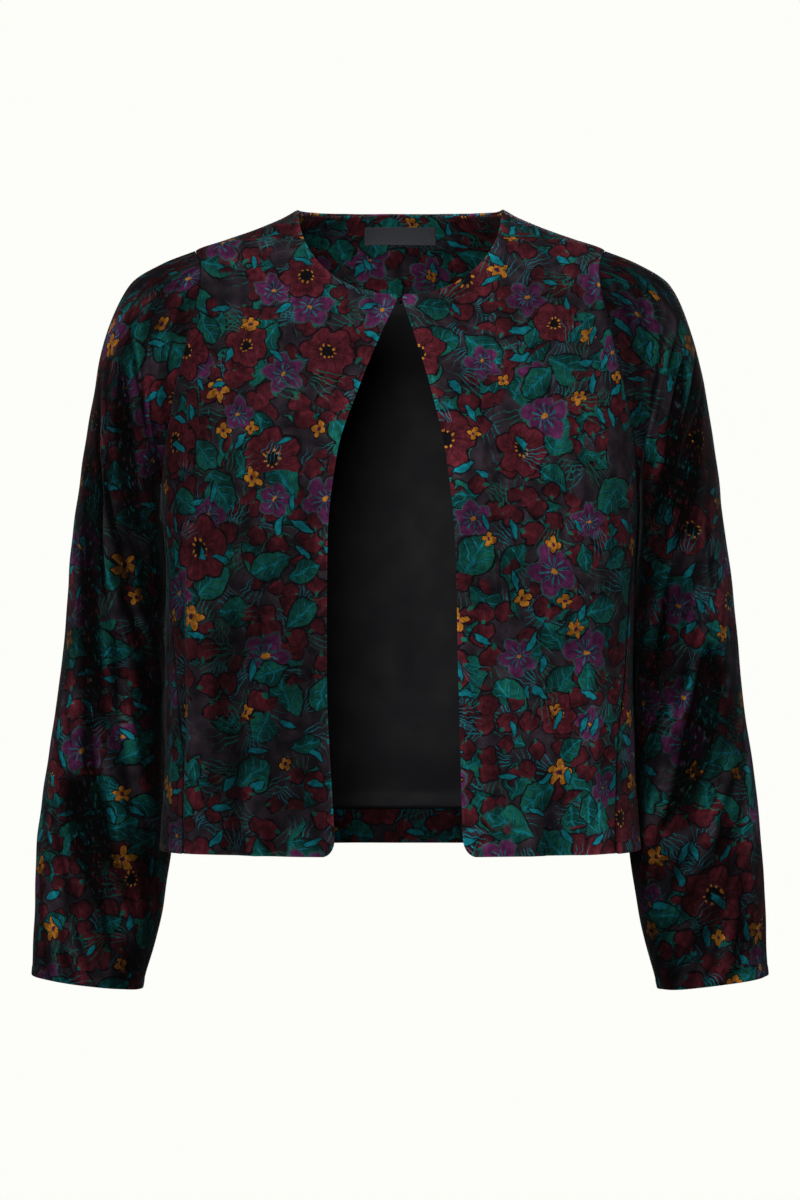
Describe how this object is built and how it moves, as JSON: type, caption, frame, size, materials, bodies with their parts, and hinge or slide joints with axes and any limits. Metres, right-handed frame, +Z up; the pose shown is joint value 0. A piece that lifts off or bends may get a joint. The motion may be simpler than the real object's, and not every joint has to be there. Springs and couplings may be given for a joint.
{
  "type": "cropped open-front jacket",
  "caption": "Cropped collarless jacket with long set-in sleeves, in printed velvet, open at the front below a hook and eye, filled out as it is when worn.",
  "frame": {"origin": "midway between the two shoulder seams, at their mean height, where the wearer's shoulders carry the jacket", "axes": "+Z up, front faces -Y, the wearer's left is +X"},
  "size_m": [0.649, 0.2355, 0.6845],
  "materials": {
    "velvet": "printed velvet, short pile",
    "velvet_facing": "printed velvet, short pile",
    "lining": "satin lining",
    "label": "woven label, bare",
    "fastening": "black lacquered wire"
  },
  "bodies": {
    "root": {"front_left": "velvet", "front_right": "velvet", "side_left": "velvet", "side_right": "velvet", "back": "velvet", "sleeve_left": "velvet", "sleeve_right": "velvet", "back_neck_facing": "velvet_facing", "back_hem_facing": "velvet_facing", "back_lining": "lining", "neck_label": "label", "hook": "fastening", "eye": "fastening"}
  },
  "joints": []
}
